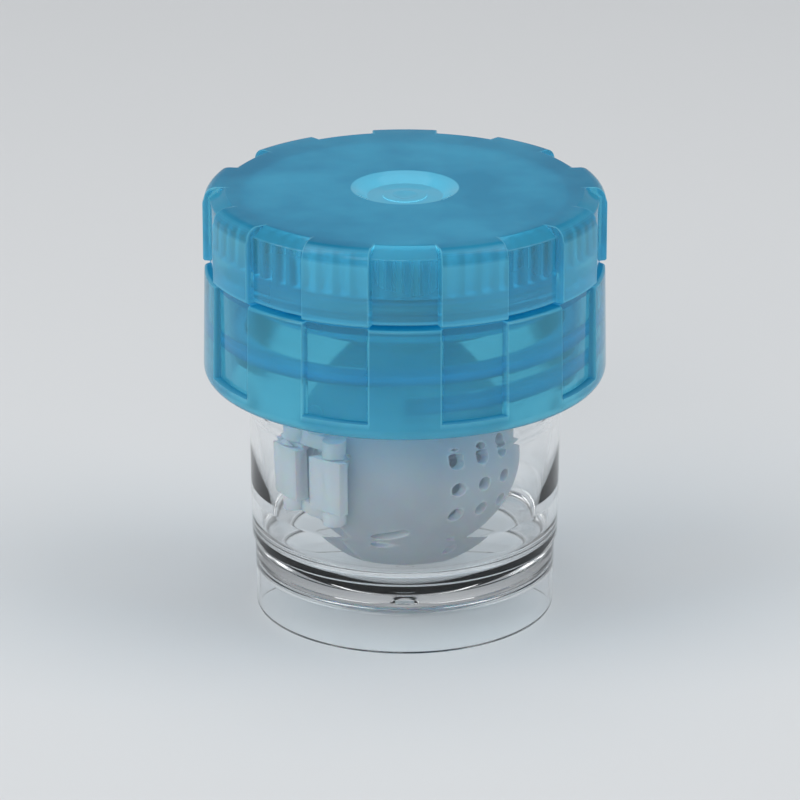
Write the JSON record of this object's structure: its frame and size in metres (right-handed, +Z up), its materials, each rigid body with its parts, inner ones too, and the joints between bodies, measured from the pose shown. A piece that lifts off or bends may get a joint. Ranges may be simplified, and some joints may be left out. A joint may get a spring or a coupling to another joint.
{
  "type": "contact lens cleaner device",
  "caption": "Hand-turned contact lens washer: a clear screw-top cup, a frosted cap with an internal ring gear, and a ball-shaped basket that it spins.",
  "frame": {"origin": "centre of the circle on which the cup's skirt stands", "axes": "+Z up along the common axis of cup, collar and cap; the side shown in the picture faces -Y; +X to its right"},
  "size_m": [0.046, 0.046, 0.05],
  "materials": {
    "clear_plastic": "polished clear",
    "blue_plastic": "frosted translucent blue",
    "milky_plastic": "milky translucent white",
    "gear_plastic": "smooth white",
    "silicone": "soft satin",
    "steel": "stainless"
  },
  "bodies": {
    "cup": {"cup": "clear_plastic"},
    "gasket": {"cup_gasket": "silicone"},
    "head": {"screw_collar": "blue_plastic", "shaft_seal": "silicone", "seal_washer": "gear_plastic"},
    "cap": {"turning_cap": "blue_plastic"},
    "planet_1": {"planet_gear_1": "gear_plastic"},
    "planet_2": {"planet_gear_2": "gear_plastic"},
    "planet_3": {"planet_gear_3": "gear_plastic"},
    "basket": {"sun_gear": "gear_plastic", "spindle": "gear_plastic", "spindle_screw": "steel", "basket_frame": "milky_plastic"},
    "door_front": {"lens_door_front": "milky_plastic"},
    "door_back": {"lens_door_back": "milky_plastic"}
  },
  "joints": [
    {"name": "collar_rise", "type": "slide", "parent": "cup", "child": "gasket", "axis": [0, 0, 1], "range_m": [0, 0.00511]},
    {"name": "collar_unscrew", "type": "hinge", "parent": "gasket", "child": "head", "pos_m": [0, 0, 0.03], "axis": [0, 0, 1], "range_deg": [0, 540]},
    {"name": "cap_turn", "type": "hinge", "parent": "head", "child": "cap", "pos_m": [0, 0, 0.0455], "axis": [0, 0, 1], "continuous": true},
    {"name": "planet_1_spin", "type": "hinge", "parent": "head", "child": "planet_1", "pos_m": [0.01013, 0.00585, 0.0455], "axis": [0, 0, 1], "continuous": true},
    {"name": "planet_2_spin", "type": "hinge", "parent": "head", "child": "planet_2", "pos_m": [-0.01013, 0.00585, 0.0455], "axis": [0, 0, 1], "continuous": true},
    {"name": "planet_3_spin", "type": "hinge", "parent": "head", "child": "planet_3", "pos_m": [0, -0.0117, 0.0455], "axis": [0, 0, 1], "continuous": true},
    {"name": "basket_spin", "type": "hinge", "parent": "head", "child": "basket", "pos_m": [0, 0, 0.0382], "axis": [0, 0, 1], "continuous": true},
    {"name": "door_front_open", "type": "hinge", "parent": "basket", "child": "door_front", "pos_m": [-0.00777, -0.01176, 0.0189], "axis": [0, 0, -1], "range_deg": [0, 11]},
    {"name": "door_back_open", "type": "hinge", "parent": "basket", "child": "door_back", "pos_m": [-0.01227, -0.00693, 0.0189], "axis": [0, 0, 1], "range_deg": [0, 11]}
  ],
  "couplings": [
    {"joint": "collar_rise", "follows": "collar_unscrew", "m_per_rad": 0.00054113},
    {"joint": "planet_1_spin", "follows": "cap_turn", "ratio": 2.625},
    {"joint": "planet_2_spin", "follows": "cap_turn", "ratio": 2.625},
    {"joint": "planet_3_spin", "follows": "cap_turn", "ratio": 2.625},
    {"joint": "basket_spin", "follows": "cap_turn", "ratio": -4.2}
  ]
}
